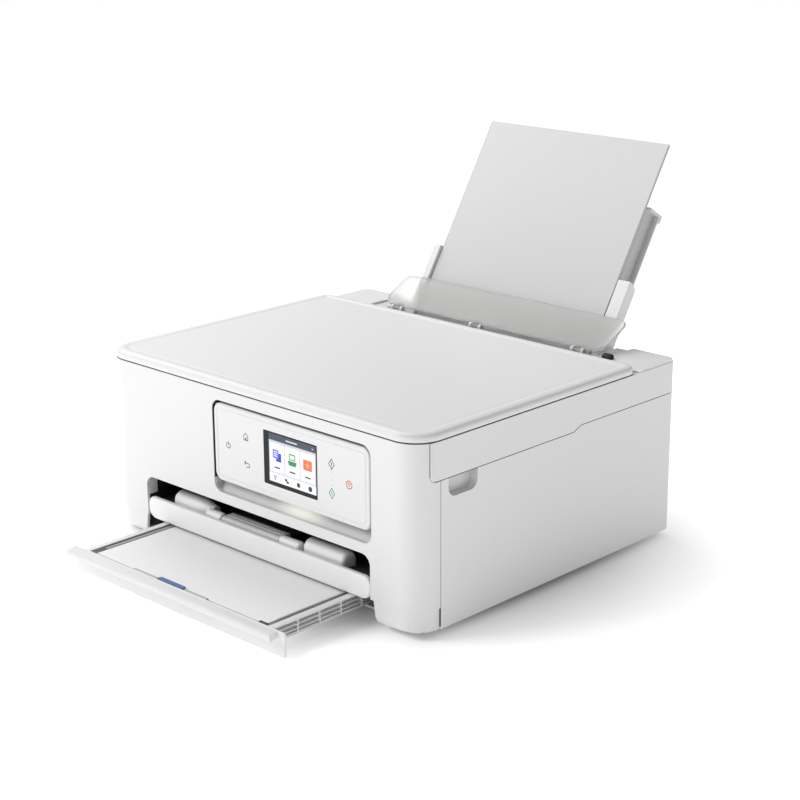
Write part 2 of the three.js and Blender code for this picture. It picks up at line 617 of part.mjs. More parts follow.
// Pair of lugs that holds one knuckle of the flap.
function flapLugs(x) {
  const { y, z } = FLAP_AXIS;
  const pair = [[x - 7, x - 4.4], [x + 4.4, x + 7]].map(([x0, x1]) =>
    join(rod("x", [y, z], 2.7, x0, x1, 16), block(x0, x1, y - 2.4, y + 2.4, CASE_TOP - 1, z)));
  return cut(join(...pair, block(x - 7, x + 7, y - 2.4, y + 2.4, CASE_TOP - 2, CASE_TOP - 0.5)),
    rod("x", [y, z], 1.9, x - 8, x + 8, 14));
}
function feederHousing() {
  const cheeks = bothSides(CHEEK, FEED_HALF - 1.2, 116, BACK - WALL - 0.4, 100, CASE_TOP);
  const beam = block(-CHEEK - 1, CHEEK + 1, 116, 126, 148, CASE_TOP);
  const tie = block(-CHEEK - 1, CHEEK + 1, 116, 119, 128, 150);
  const feet = bothSides(CHEEK + 4, CHEEK + 10, 146, 157, BODY_BOTTOM + 2.2, 101);
  const bores = bothSides(128, 138, 119, 156, 90, 156);
  return join(cut(join(beam, tie, ...cheeks, ...feet), ...bores), ...FLAP_KNUCKLES.map(flapLugs));
}
add("feeder_housing", feederHousing(), SOFT_WHITE);

// Everything that follows the sheets' slope is drawn upright in this group: Z runs up the slope
// and Y points to the sheets' back.
const slope = new THREE.Group();
slope.position.set(0, FEED_FOOT.y, FEED_FOOT.z);
slope.rotation.x = -LEAN;
printer.add(slope);
const addSloped = (name, shape, material) => addMesh(slope, name, shape, material);

addSloped("rear_paper", block(-PAPER_WIDTH / 2, PAPER_WIDTH / 2, 0, REAR_STACK, 0, PAPER_LENGTH), PAPER);

const SLOPE_PLATE = { front: REAR_STACK + 0.4, back: REAR_STACK + 3 };
function rearTray() {
  const plate = block(-104, 104, SLOPE_PLATE.front, SLOPE_PLATE.back, 8, 161);
  const wings = bothSides(103, CHEEK - 0.4, SLOPE_PLATE.front, SLOPE_PLATE.back, 8, 62);
  const ribs = bothSides(101.8, 104, SLOPE_PLATE.back - 1, SLOPE_PLATE.back + 4, 62, 161);
  const toe = block(-104, 104, -1.2, SLOPE_PLATE.back, -2.6, -0.5);
  const sill = block(-104, 104, SLOPE_PLATE.front, SLOPE_PLATE.back, -1, 9);
  const slots = [-60, 0, 60].map((x) => block(x - 14, x + 14, 0, 10, 20, 40));
  return cut(join(plate, sill, toe, ...wings, ...ribs), ...slots);
}
addSloped("rear_tray", rearTray(), SOFT_WHITE);

const SUPPORT_TOP = 236;
const SUPPORT_WALL_FOOT = 132;
function paperSupport() {
  const y0 = SLOPE_PLATE.back + 0.4;
  const plate = block(-101.2, 101.2, y0, y0 + 2, 120, SUPPORT_TOP);
  const walls = bothSides(99, 101.2, y0, 24, SUPPORT_WALL_FOOT, SUPPORT_TOP);
  const flanges = bothSides(99, 107, 22, 24, SUPPORT_WALL_FOOT, SUPPORT_TOP);
  const cap = block(-107, 107, y0, 27, SUPPORT_TOP - 1, SUPPORT_TOP + 1.6);
  const hook = block(-107, 107, 24.5, 27, SUPPORT_TOP - 6, SUPPORT_TOP);
  return join(plate, cap, hook, ...walls, ...flanges);
}
addSloped("paper_support", paperSupport(), SOFT_WHITE);

// The left guide touches the sheets; the right one, set by hand, stands a little off them.
const REAR_GUIDE = { bottom: 66, top: 164 };
function rearGuide(sign) {
  const x0 = PAPER_WIDTH / 2 + (sign > 0 ? 3.4 : 0.4);
  const x1 = x0 + (sign > 0 ? 13.4 : 8);
  const profile = polygon([[-3, REAR_GUIDE.bottom], [9, REAR_GUIDE.bottom], [9, REAR_GUIDE.top - 5],
    [7, REAR_GUIDE.top - 2.5], [0.6, REAR_GUIDE.top], [-3, REAR_GUIDE.top]]);
  const body = prismX(profile, x0, x1);
  const relief = block(x0 + 2, x1 - 2, 1, 10, REAR_GUIDE.bottom - 1, REAR_GUIDE.top - 8);
  const guide = cut(body, relief);
  return sign > 0 ? guide : guide.mirror([1, 0, 0]);
}
addSloped("rear_guide_left", rearGuide(-1), WHITE);
addSloped("rear_guide_right", rearGuide(1), WHITE);

const REAR_ROLLER_RADIUS = 13;
const REAR_ROLLER_HEIGHT = 14;
function rearFeedRoller() {
  const centre = -REAR_ROLLER_RADIUS - 0.4;
  const tyres = [-62, 34].map((x) =>
    rod("x", [centre, REAR_ROLLER_HEIGHT], REAR_ROLLER_RADIUS, x, x + 28, 28));
  return join(rod("x", [centre, REAR_ROLLER_HEIGHT], 3.2, -118, 118, 14), ...tyres);
}
addSloped("rear_feed_roller", rearFeedRoller(), RUBBER);

// Frosted flap that leans over the feed opening, on three knuckles.
const FLAP = { left: -127, right: 138.4, length: 44, tilt: THREE.MathUtils.degToRad(30) };
const flapGroup = new THREE.Group();
flapGroup.position.set(0, FLAP_AXIS.y, FLAP_AXIS.z);
flapGroup.rotation.x = FLAP.tilt;
printer.add(flapGroup);
function feedCover() {
  const outline = roundedShape(FLAP.left, FLAP.right, 2, FLAP.length, 13, 13, 8, 8);
  const leaf = prismZ(outline, 0.2, 2);
  const notches = FLAP_KNUCKLES.map((x) => block(x - 8, x + 8, 0, 3.6, -3, 3));
  const knuckles = FLAP_KNUCKLES.map((x) => join(
    rod("x", [0, 0], 1.6, x - 6.6, x + 6.6, 14), block(x - 4, x + 4, -0.6, 5, -1.4, 1)));
  return join(cut(leaf, ...notches), ...knuckles);
}
addMesh(flapGroup, "feed_slot_cover", feedCover(), FROSTED);

// ---------------------------------------------------------------- scanner unit
const LID_HINGES = [-120, 120];
function scannerCase() {
  const shell = bodyShell(SEAM_FRONT - 1, CASE_TOP);
  const behindFront = block(-190, 190, UPPER_SEAM_Y, BACK + 1, 100, 200);
  const half = HALF_WIDTH - 0.1;
  const frontWall = block(-half, half, UPPER_SEAM_Y, UPPER_SEAM_Y + 2, SEAM_FRONT + 0.2, CASE_TOP);
  const top = prismZ(bodyOutline(0.3), CASE_TOP - 2.2, CASE_TOP).intersect(behindFront);
  const ramp = polygon([[110, CASE_TOP - 1], [BACK + 1, CASE_TOP - 1], [BACK + 1, CASE_TOP + 2],
    [113, CASE_TOP + 2], [110.5, CASE_TOP]]);
  const rearTop = prismZ(bodyOutline(0.6), CASE_TOP - 1, CASE_TOP + 2).intersect(prismX(ramp, -200, 200));
  const low = SEAM_REAR + 3;
  const feedEnd = FEED_HALF + 2;
  const feedWall = block(-feedEnd, feedEnd, FEED_FRONT - 2.4, FEED_FRONT, low, CASE_TOP);
  const innerWalls = bothSides(FEED_HALF, feedEnd, FEED_FRONT - 2, BACK - 1, low, CASE_TOP);
  const skirt = shell.intersect(behindFront).intersect(prismX(polygon(above(0)), -200, 200));
  const glassHole = block(-152, 152, -128, 92, CASE_TOP - 4, CASE_TOP + 1);
  const notch = block(-FEED_HALF, FEED_HALF, FEED_FRONT, BACK + 1, 100, 200);
  const rearRelief = block(-200, 200, BACK - 4, BACK + 1, SEAM_REAR - 1, SEAM_REAR + 5);
  const hingeSeats = LID_HINGES.map((x) => block(x - 8, x + 8, 93, 106, CASE_TOP - 4, CASE_TOP + 1));
  const corners = bothSides(183, 200, UPPER_SEAM_Y - 2, -130, 120, 140)
    .map((side) => side.intersect(prismX(cornerRegion(1, CORNER), -200, 200)));
  return cut(join(skirt, frontWall, top, rearTop, feedWall, ...innerWalls),
    glassHole, notch, rearRelief, ...corners, ...hingeSeats);
}
add("scanner_case", scannerCase(), WHITE);

const SCAN_BED = { x: 183, front: UPPER_SEAM_Y + 2.6, rear: FEED_FRONT - 3, z: SEAM_REAR + 0.6 };
function scannerTray() {
  const { x: half, front, rear, z } = SCAN_BED;
  const rim = CASE_TOP - 2.8;
  const outer = block(-half, half, front, rear, z, rim);
  const inner = block(-half + 2, half - 2, front + 2, rear - 2, z + 2, 200);
  const posts = LID_HINGES.map((x) => block(x - 10, x + 10, 90, rear - 1, z + 1, rim));
  const sockets = LID_HINGES.map((x) => block(x - 6.4, x + 6.4, 94, 103.4, z + 6, 200));
  const rail = block(-half + 1, half - 1, -20, -12, z + 1, z + 3.6);
  return cut(join(cut(outer, inner), rail, ...posts), ...sockets);
}
add("scanner_tray", scannerTray(), DARK);
add("platen_glass", block(-155, 155, -131, 88.5, CASE_TOP - 5.4, CASE_TOP - 2.6), GLASS);
function scanBar() {
  const bar = block(-160, -142, -124, 86, 139, 152.6);
  return join(bar, block(-156, -146, -112, 74, 152, 153.4), block(-163, -139, -24, -8, 137.4, 142));
}
add("scan_bar", scanBar(), DARK);

// Lid hinges: posts that rise in the scanner tray, each with an eye that carries the lid's pin.
LID_HINGES.forEach((x, i) => {
  const post = block(x - 6, x + 6, 94.4, 102.3, SCAN_BED.z + 7, LID_AXIS.z - 1);
  const eye = rod("x", [LID_AXIS.y, LID_AXIS.z], 2, x - 6, x + 6, 16);
  add(i ? "lid_hinge_right" : "lid_hinge_left", join(post, eye), GREY);
});

const LID = { front: FRONT, side: HALF_WIDTH, radius: 25, rearRadius: 12 };
function lidOutline(inset) {
  const side = LID.side - inset;
  const front = LID.radius - inset;
  const rear = Math.max(LID.rearRadius - inset, 1);
  return roundedShape(-side, side, LID.front + inset, LID_REAR - inset, front, front, rear, rear);
}
function documentCover() {
  const base = prismZ(lidOutline(0), LID_BOTTOM, LID_TOP - 1, 8);
  const rim = prismZ(lidOutline(1), LID_TOP - 1.2, LID_TOP, 8);
  const field = prismZ(lidOutline(9), LID_TOP - 0.8, LID_TOP + 1, 8);
  const under = prismZ(lidOutline(3), LID_BOTTOM - 1, LID_BOTTOM + 3.4, 6);
  const pinBlocks = LID_HINGES.map((x) =>
    block(x - 12, x + 12, 92, LID_REAR - 0.6, LID_BOTTOM, LID_TOP - 1));
  const seats = LID_HINGES.map((x) =>
    block(x - 6.5, x + 6.5, 91, LID_REAR - 1.2, LID_BOTTOM - 1, LID_AXIS.z + 2.3));
  const swingRelief = prismX(
    polygon([[LID_AXIS.y - 1.6, LID_BOTTOM - 1], [LID_REAR + 1, LID_BOTTOM - 1],
      [LID_REAR + 1, LID_AXIS.z - 0.4], [LID_AXIS.y - 1.6, LID_BOTTOM]]),
    -200, 200);
  return cut(join(cut(join(base, rim), field, under), ...pinBlocks), ...seats, swingRelief);
}
add("document_cover", documentCover(), WHITE);
add("document_pad", block(-150, 150, -126, 90, LID_BOTTOM - 0.2, LID_BOTTOM + 3), FELT);

export default printer;
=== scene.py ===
"""Looks of a desktop inkjet printer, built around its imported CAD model.

Shapes are drawn in millimetres in the CAD frame: +Z up, +X to the right, the front faces -Y.
"""

import math
import random

import bmesh
import bpy
from mathutils import Matrix, Vector


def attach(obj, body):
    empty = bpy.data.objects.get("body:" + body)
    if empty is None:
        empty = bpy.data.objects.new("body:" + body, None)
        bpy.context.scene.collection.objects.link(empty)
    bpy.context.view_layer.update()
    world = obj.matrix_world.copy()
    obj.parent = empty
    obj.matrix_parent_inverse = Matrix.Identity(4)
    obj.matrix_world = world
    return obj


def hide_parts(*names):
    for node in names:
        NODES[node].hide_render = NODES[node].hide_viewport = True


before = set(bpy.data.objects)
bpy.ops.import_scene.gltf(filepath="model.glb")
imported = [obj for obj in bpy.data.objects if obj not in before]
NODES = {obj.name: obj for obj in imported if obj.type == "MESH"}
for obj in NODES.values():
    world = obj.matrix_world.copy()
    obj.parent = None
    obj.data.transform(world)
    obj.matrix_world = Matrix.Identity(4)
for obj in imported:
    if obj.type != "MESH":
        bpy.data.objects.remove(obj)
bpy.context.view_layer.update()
MM = 0.001
random.seed(11)

# The body's front face, and the side covers' outer faces.
FRONT = -162.5
HALF_WIDTH = 188
# The rear sheets' slope: its foot, and how far it leans back. Up the slope is Z.
SLOPE_FOOT = (0, 96.6, 74.1)
SLOPE_LEAN = math.radians(32)
SLOPE = Matrix.Translation(SLOPE_FOOT) @ Matrix.Rotation(-SLOPE_LEAN, 4, "X")
# The frosted flap's hinge line in Y and Z, and how far the flap stands up from level.
FLAP_AXIS = (121, 162.6)
FLAP_TILT = math.radians(30)
FLAP_KNUCKLES = (-106, -7, 112)
FLAP_PLACE = Matrix.Translation((0, *FLAP_AXIS)) @ Matrix.Rotation(FLAP_TILT, 4, "X")


# ------------------------------------------------------------------ camera, light and floor
CAMERA_PLACE = (1.064154, -1.087451, 0.591613)  # metres
CAMERA_ANGLES = (44.02, 17.19, -0.32)  # degrees: azimuth from the front, elevation and roll
CAMERA_LENS = 82.15
SENSOR_WIDTH = 36
SKY_STRENGTH = 0.41
# Area lights, in metres and watts: name, place, the point it faces, size and power.
LIGHTS = (
    ("key", (-1.8, -2.2, 2.2), (0, 0, 0.1), (1.6, 1.6), 50),
    ("side", (-1.1, 0.3, 1.3), (0, 0, 0.15), (1.0, 1.0), 13.5),
)
FLOOR_SIZE = 40
FLOOR_DROP = 0.0002  # keeps the floor's plane just below the feet
FLOOR_REACH = 0.8  # metres, the radius that the floor's own light is measured in
# The floor's own light, painted light and shade, from 0 at that radius and 1 at the middle: brightest
# away from the printer, dim round it as painted shadow.
FLOOR_PAINTED_LIGHT_AND_SHADE = {"From Min": 0.60, "From Max": 0.80, "To Min": 0.60, "To Max": 0.03}


def make_camera():
    azimuth, elevation, roll = (math.radians(a) for a in CAMERA_ANGLES)
    back = Vector((
        math.sin(azimuth) * math.cos(elevation),
        -math.cos(azimuth) * math.cos(elevation),
        math.sin(elevation),
    ))
    level = Vector((0, 0, 1)).cross(back).normalized()
    upright = back.cross(level)
    right = math.cos(roll) * level + math.sin(roll) * upright
    up = math.cos(roll) * upright - math.sin(roll) * level
    data = bpy.data.cameras.new("camera")
    data.lens = CAMERA_LENS
    data.sensor_width = SENSOR_WIDTH
    data.clip_end = 100
    camera = bpy.data.objects.new("camera", data)
    turn = Matrix((right, up, back)).transposed().to_4x4()
    camera.matrix_world = Matrix.Translation(CAMERA_PLACE) @ turn
    bpy.context.scene.collection.objects.link(camera)
    bpy.context.scene.camera = camera


def area_light(name, place, target, size, power):
    data = bpy.data.lights.new(name, "AREA")
    data.shape = "RECTANGLE"
    data.size, data.size_y = size
    data.energy = power
    light = bpy.data.objects.new(name, data)
    light.location = place
    light.visible_camera = False
    aim = Vector(target) - Vector(place)
    light.rotation_euler = aim.to_track_quat("-Z", "Y").to_euler()
    bpy.context.scene.collection.objects.link(light)


def make_studio():
    """White surroundings, two soft lights, and a white floor whose own glow is painted light, fading to
    painted shadow under the printer.
    """
    bpy.context.scene.view_settings.view_transform = "Standard"
    world = bpy.data.worlds.new("studio")
    world.use_nodes = True
    sky = world.node_tree.nodes["Background"]
    sky.inputs["Color"].default_value = (1, 1, 1, 1)
    sky.inputs["Strength"].default_value = SKY_STRENGTH
    bpy.context.scene.world = world
    for light in LIGHTS:
        area_light(*light)
    bpy.ops.mesh.primitive_plane_add(size=FLOOR_SIZE, location=(0, 0, -FLOOR_DROP))
    floor = bpy.context.object
    floor.name = "floor"
    paint = bpy.data.materials.new("floor_paint")
    paint.use_nodes = True
    shader = paint.node_tree.nodes["Principled BSDF"]
    shader.inputs["Base Color"].default_value = (0.93, 0.93, 0.93, 1)
    shader.inputs["Roughness"].default_value = 0.7
    shader.inputs["Emission Color"].default_value = (1, 1, 1, 1)
    tree = paint.node_tree
    place = node(tree, "ShaderNodeTexCoord").outputs["Object"]
    reach = node(tree, "ShaderNodeMapping", Scale=(1 / FLOOR_REACH,) * 3)
    ball = node(tree, "ShaderNodeTexGradient", gradient_type="SPHERICAL")
    tree.links.new(place, reach.inputs["Vector"])
    tree.links.new(reach.outputs["Vector"], ball.inputs["Vector"])
    # The floor's glow by distance: painted shadow near the printer, painted light further out.
    glow = node(tree, "ShaderNodeMapRange", interpolation_type="SMOOTHSTEP", **FLOOR_PAINTED_LIGHT_AND_SHADE)
    tree.links.new(ball.outputs["Fac"], glow.inputs["Value"])
    tree.links.new(glow.outputs["Result"], shader.inputs["Emission Strength"])
    floor.data.materials.append(paint)


# ------------------------------------------------------------------ materials
def node(tree, kind, **values):
    """A new node, with each value set on its socket or else on its own property."""
    made = tree.nodes.new(kind)
    for key, value in values.items():
        if key in made.inputs:
            made.inputs[key].default_value = value
        else:
            setattr(made, key, value)
    return made


def spread(tree, source, low, high):
    """Maps a 0 to 1 value onto a range."""
    ranged = node(tree, "ShaderNodeMapRange", **{"To Min": low, "To Max": high})
    tree.links.new(source, ranged.inputs["Value"])
    return ranged.outputs["Result"]


GLOSS_SPREAD = 0.05  # how far the roughness wanders either way
RELIEF_DEPTH = 0.3  # the relief's depth as a share of its grain size


def surface(name, color, roughness, mottle=0.02, cloud=14.0, grain=0.7, relief=0.05,
            stretch=(1, 1, 1), sockets=None):
    """A moulded, rolled or felted surface: cloudy tone, fine relief and uneven gloss.

    cloud is the number of tone patches in a metre, and grain the relief's size in mm.
    """
    made = bpy.data.materials.new(name)
    made.use_nodes = True
    tree = made.node_tree
    shader = tree.nodes["Principled BSDF"]
    place = node(tree, "ShaderNodeTexCoord").outputs["Object"]
    mapped = node(tree, "ShaderNodeMapping", Scale=stretch)
    tree.links.new(place, mapped.inputs["Vector"])
    tone = node(tree, "ShaderNodeTexNoise", Scale=cloud, Detail=4.0, Roughness=0.55)
    fine = node(tree, "ShaderNodeTexNoise", Scale=1000.0 / grain, Detail=2.0)
    for texture in (tone, fine):
        tree.links.new(mapped.outputs["Vector"], texture.inputs["Vector"])
    mix = node(tree, "ShaderNodeMix", data_type="RGBA")
    mix.inputs["A"].default_value = (*(c * (1 - mottle) for c in color), 1)
    mix.inputs["B"].default_value = (*(min(c * (1 + mottle), 1) for c in color), 1)
    tree.links.new(tone.outputs["Fac"], mix.inputs["Factor"])
    tree.links.new(mix.outputs["Result"], shader.inputs["Base Color"])
    gloss = spread(tree, fine.outputs["Fac"], roughness - GLOSS_SPREAD, roughness + GLOSS_SPREAD)
    tree.links.new(gloss, shader.inputs["Roughness"])
    bump = node(tree, "ShaderNodeBump", Strength=relief, Distance=grain * MM * RELIEF_DEPTH)
    tree.links.new(fine.outputs["Fac"], bump.inputs["Height"])
    tree.links.new(bump.outputs["Normal"], shader.inputs["Normal"])
    for key, value in (sockets or {}).items():
        shader.inputs[key].default_value = value
    return made


def lit(name, color, strength):
    """A part of the lit display, which reflects little and gives off its own colour."""
    made = surface(name, [c * 0.15 for c in color], 0.3, mottle=0.01, relief=0.0)
    shader = made.node_tree.nodes["Principled BSDF"]
    shader.inputs["Emission Color"].default_value = (*color, 1)
    shader.inputs["Emission Strength"].default_value = strength
    return made


WHITE = surface("white_plastic", (0.80, 0.80, 0.805), 0.42, mottle=0.012, relief=0.10)
# A lighter copy of the white plastic for the output tray: painted light.
TRAY_PAINTED_LIGHT = surface("tray_painted_light", (0.91, 0.91, 0.91), 0.42, mottle=0.012, relief=0.10)
# A darker copy of the white plastic for the cassette's lip: painted shade.
LIP_PAINTED_SHADE = surface("lip_painted_shade", (0.74, 0.74, 0.745), 0.42, mottle=0.012, relief=0.10)
LIGHT = surface("light_plastic", (0.70, 0.70, 0.70), 0.45, mottle=0.02, relief=0.10)
GREY = surface("grey_plastic", (0.46, 0.465, 0.47), 0.45, mottle=0.03, relief=0.12)
CHANNEL_SHADOW_GREY = surface("channel_painted_shadow", (0.55, 0.55, 0.555), 0.5, mottle=0.05, relief=0.12)
DARK = surface("dark_plastic", (0.022, 0.023, 0.025), 0.42, mottle=0.10, relief=0.2)
CHARCOAL = surface("charcoal_plastic", (0.045, 0.046, 0.048), 0.5, mottle=0.08, relief=0.2)
RUBBER = surface("black_rubber", (0.02, 0.02, 0.021), 0.75, mottle=0.12, grain=0.5, relief=0.5)
STEEL = surface("sheet_steel", (0.50, 0.51, 0.52), 0.34, mottle=0.06, cloud=30, grain=0.4,
                relief=0.25, stretch=(0.06, 1, 1), sockets={"Metallic": 1.0})
PLATED = surface("nickel_plate", (0.56, 0.55, 0.53), 0.28, mottle=0.05, relief=0.1,
                 sockets={"Metallic": 1.0})
BLACK_GLASS = surface("screen_glass", (0.004, 0.0045, 0.006), 0.22, mottle=0.05, relief=0.0,
                      sockets={"Specular IOR Level": 0.22})
BED_GLASS = surface("bed_glass", (0.86, 0.93, 0.90), 0.06, mottle=0.01, relief=0.0,
                    sockets={"Transmission Weight": 0.9, "IOR": 1.5})
FROSTED = surface("frosted_plastic", (0.78, 0.78, 0.77), 0.30, mottle=0.015, grain=0.5,
                  relief=0.12, sockets={"Transmission Weight": 0.74, "IOR": 1.2})
# One paper at two tones: the cassette's sheets lighter as painted light, the rear sheets darker as
# painted shade.
PAPER = surface("sheet_paper", (0.88, 0.88, 0.88), 0.85, mottle=0.012, cloud=60, grain=0.35,
                relief=0.18, stretch=(1, 0.6, 0.6))
PAINTED_SHADE_REAR_SHEETS = surface("rear_paper_painted_shade", (0.69, 0.69, 0.69), 0.85, mottle=0.012, cloud=60,
                     grain=0.35, relief=0.18, stretch=(1, 0.6, 0.6))
BLUE = surface("blue_plastic", (0.045, 0.12, 0.34), 0.4, mottle=0.04, relief=0.1)
BOARD = surface("solder_mask", (0.015, 0.09, 0.04), 0.3, mottle=0.35, cloud=300, relief=0.3)
FELT = surface("white_felt", (0.70, 0.69, 0.66), 0.95, mottle=0.05, cloud=90, grain=0.9,
               relief=0.9, sockets={"Sheen Weight": 0.4})
MARK = surface("key_print", (0.035, 0.035, 0.04), 0.45, mottle=0.03, relief=0.0)
TEAL = surface("teal_print", (0.0, 0.24, 0.24), 0.45, mottle=0.03, relief=0.0)
CORAL = surface("coral_print", (0.66, 0.08, 0.02), 0.45, mottle=0.03, relief=0.0)


# The spot of painted light on the recess's floor: its middle in X and Z, and its half width and half
# height.
GLOW_SPOT = (52, 77)
GLOW_SIZE = (42, 12)


def recess_light_and_shade_material():
    """The panel's recess: white plastic made darker as painted shade under the panel, with painted light,
    as if lit from inside, round one spot of its floor.
    """
    # A base darker than the white plastic: painted shade under the panel.
    made = surface("recess_painted_light_and_shade", (0.60, 0.60, 0.605), 0.42, mottle=0.012, relief=0.10)
    tree = made.node_tree
    shader = tree.nodes["Principled BSDF"]
    place = node(tree, "ShaderNodeTexCoord").outputs["Object"]
    (x, z), (half_x, half_z) = GLOW_SPOT, GLOW_SIZE
    # The emission round the spot: painted light on the recess's floor.
    centred = node(tree, "ShaderNodeMapping", Location=(-x / half_x, 0, -z / half_z),
                   Scale=(1 / (half_x * MM), 0, 1 / (half_z * MM)))
    tree.links.new(place, centred.inputs["Vector"])
    ball = node(tree, "ShaderNodeTexGradient", gradient_type="SPHERICAL")
    tree.links.new(centred.outputs["Vector"], ball.inputs["Vector"])
    smooth = node(tree, "ShaderNodeMapRange", interpolation_type="SMOOTHSTEP", **{"To Max": 0.5})
    tree.links.new(ball.outputs["Fac"], smooth.inputs["Value"])
    tree.links.new(smooth.outputs["Result"], shader.inputs["Emission Strength"])
    shader.inputs["Emission Color"].default_value = (1.0, 0.98, 0.76, 1)
    return made


RECESS_PAINTED_LIGHT_AND_SHADE = recess_light_and_shade_material()


# ------------------------------------------------------------------ mesh helpers
def outline(u0, u1, v0, v1, radii, inset=0.0, steps=8):
    """A rounded rectangle drawn in by inset, counter-clockwise from its low left corner."""
    corners = ((u0, v0, 1, 1, 180), (u1, v0, -1, 1, 270), (u1, v1, -1, -1, 0), (u0, v1, 1, -1, 90))
    points = []
    for (u, v, to_u, to_v, start), corner in zip(corners, radii):
        radius = max(corner - inset, 0.15)
        centre_u = u + to_u * (inset + radius)
        centre_v = v + to_v * (inset + radius)
        for k in range(steps + 1):
            angle = math.radians(start + 90 * k / steps)
            points.append((centre_u + radius * math.cos(angle), centre_v + radius * math.sin(angle)))
    return points


# Where a drawing's two directions and its depth go, by the axis of the depth.
PLANES = {
    "x": lambda u, v, w: (w, u, v),
    "y": lambda u, v, w: (u, w, v),
    "z": lambda u, v, w: (u, v, w),
}


def loft(bm, rings, plane):
    """Joins rings of (points, place along the axis) into one closed body."""
    to_space = PLANES[plane]
    rows = [[bm.verts.new(to_space(u, v, w)) for u, v in points] for points, w in rings]
    count = len(rows[0])
    for low, high in zip(rows, rows[1:]):
        for i in range(count):
            j = (i + 1) % count
            bm.faces.new((low[i], low[j], high[j], high[i]))
    bm.faces.new(list(reversed(rows[0])))
    bm.faces.new(rows[-1])


def extrude(bm, points, low, high, plane):
    """A prism of one outline between two places along an axis."""
    loft(bm, [(points, low), (points, high)], plane)


def box(bm, x0, x1, y0, y1, z0, z1):
    """A plate, bar or rib between two corners, added to a larger piece."""
    extrude(bm, [(x0, y0), (x1, y0), (x1, y1), (x0, y1)], z0, z1, "z")


def circle(u, v, radius, steps=24, start=0.0, sweep=360.0):
    """Points of a circle, or of an arc with both of its ends."""
    whole = abs(sweep) >= 360
    count = steps if whole else steps + 1
    return [
        (u + radius * math.cos(math.radians(start + sweep * k / steps)),
         v + radius * math.sin(math.radians(start + sweep * k / steps)))
        for k in range(count)
    ]


def ribbon(bm, points, width, front, back, closed=False):
    """A flat band of one width along a line drawn in X and Z."""
    count = len(points)
    rows = []
    for i, point in enumerate(points):
        here = Vector(point)
        before = Vector(points[i - 1]) if closed or i else here
        after = Vector(points[(i + 1) % count]) if closed or i < count - 1 else here
        arrive = (here - before).normalized() if before != here else (after - here).normalized()
        leave = (after - here).normalized() if after != here else arrive
        along = (arrive + leave).normalized()
        side = Vector((-along.y, along.x))
        share = max(side.dot(Vector((-arrive.y, arrive.x))), 0.5)
        offset = side * (width / 2 / share)
        left, right = here + offset, here - offset
        rows.append([bm.verts.new((p.x, y, p.y)) for p, y in
                     ((left, front), (right, front), (right, back), (left, back))])
    pairs = list(zip(rows, rows[1:])) + ([(rows[-1], rows[0])] if closed else [])
    for low, high in pairs:
        for k in range(4):
            bm.faces.new((low[k], low[(k + 1) % 4], high[(k + 1) % 4], high[k]))
    if not closed:
        bm.faces.new(list(reversed(rows[0])))
        bm.faces.new(rows[-1])


def ring(bm, outer, inner, low, high):
    """A flat band between two outlines with the same number of points."""
    rows = [[bm.verts.new((x, y, z)) for x, y in points]
            for points, z in ((outer, low), (outer, high), (inner, high), (inner, low))]
    count = len(outer)
    for first, second in zip(rows, rows[1:] + rows[:1]):
        for i in range(count):
            j = (i + 1) % count
            bm.faces.new((first[i], first[j], second[j], second[i]))


def mirrored(side, a, b):
    """A span of X on the right, side 1, or its mirror on the left, side -1."""
    return sorted((side * a, side * b))


def soften(obj, bevel, angle=30):
    """Rounds the sharp edges of a solid and shades its flat faces flat."""
    if bevel:
        rounded = obj.modifiers.new("rounded_edges", "BEVEL")
        rounded.width = bevel * MM
        rounded.segments = 2
        rounded.limit_method = "ANGLE"
        rounded.angle_limit = math.radians(angle)
        rounded.use_clamp_overlap = True
        rounded.miter_outer = "MITER_ARC"
    even = obj.modifiers.new("even_shading", "WEIGHTED_NORMAL")
    even.weight = 60


def piece(name, bm, body, material, replaces=(), place=None, bevel=0.0, sharp=40):
    """Makes one finished piece of the drawn mesh, riding on a body, for the nodes it replaces."""
    bmesh.ops.recalc_face_normals(bm, faces=bm.faces)
    bmesh.ops.transform(bm, matrix=Matrix.Scale(MM, 4) @ (place or Matrix()), verts=bm.verts)
    mesh = bpy.data.meshes.new(name)
    bm.to_mesh(mesh)
    bm.free()
    mesh.materials.append(material)
    mesh.shade_smooth()
    obj = bpy.data.objects.new(name, mesh)
    bpy.context.scene.collection.objects.link(obj)
    if bevel:
        soften(obj, bevel)
    else:
        mesh.set_sharp_from_angle(angle=math.radians(sharp))
    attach(obj, body)
    if replaces:
        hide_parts(*replaces)
    return obj


def dress(name, material, bevel=0.35):
    """Gives a CAD node its finish and rounds its edges, with its own vertices left as they are."""
    obj = NODES[name]
    obj.data.materials.clear()
    obj.data.materials.append(material)
    obj.data.shade_smooth()
    weld = obj.modifiers.new("weld", "WELD")
    weld.merge_threshold = 0.002 * MM
    flat = obj.modifiers.new("one_face_each", "DECIMATE")
    flat.decimate_type = "DISSOLVE"
    flat.angle_limit = math.radians(0.6)
    soften(obj, bevel)


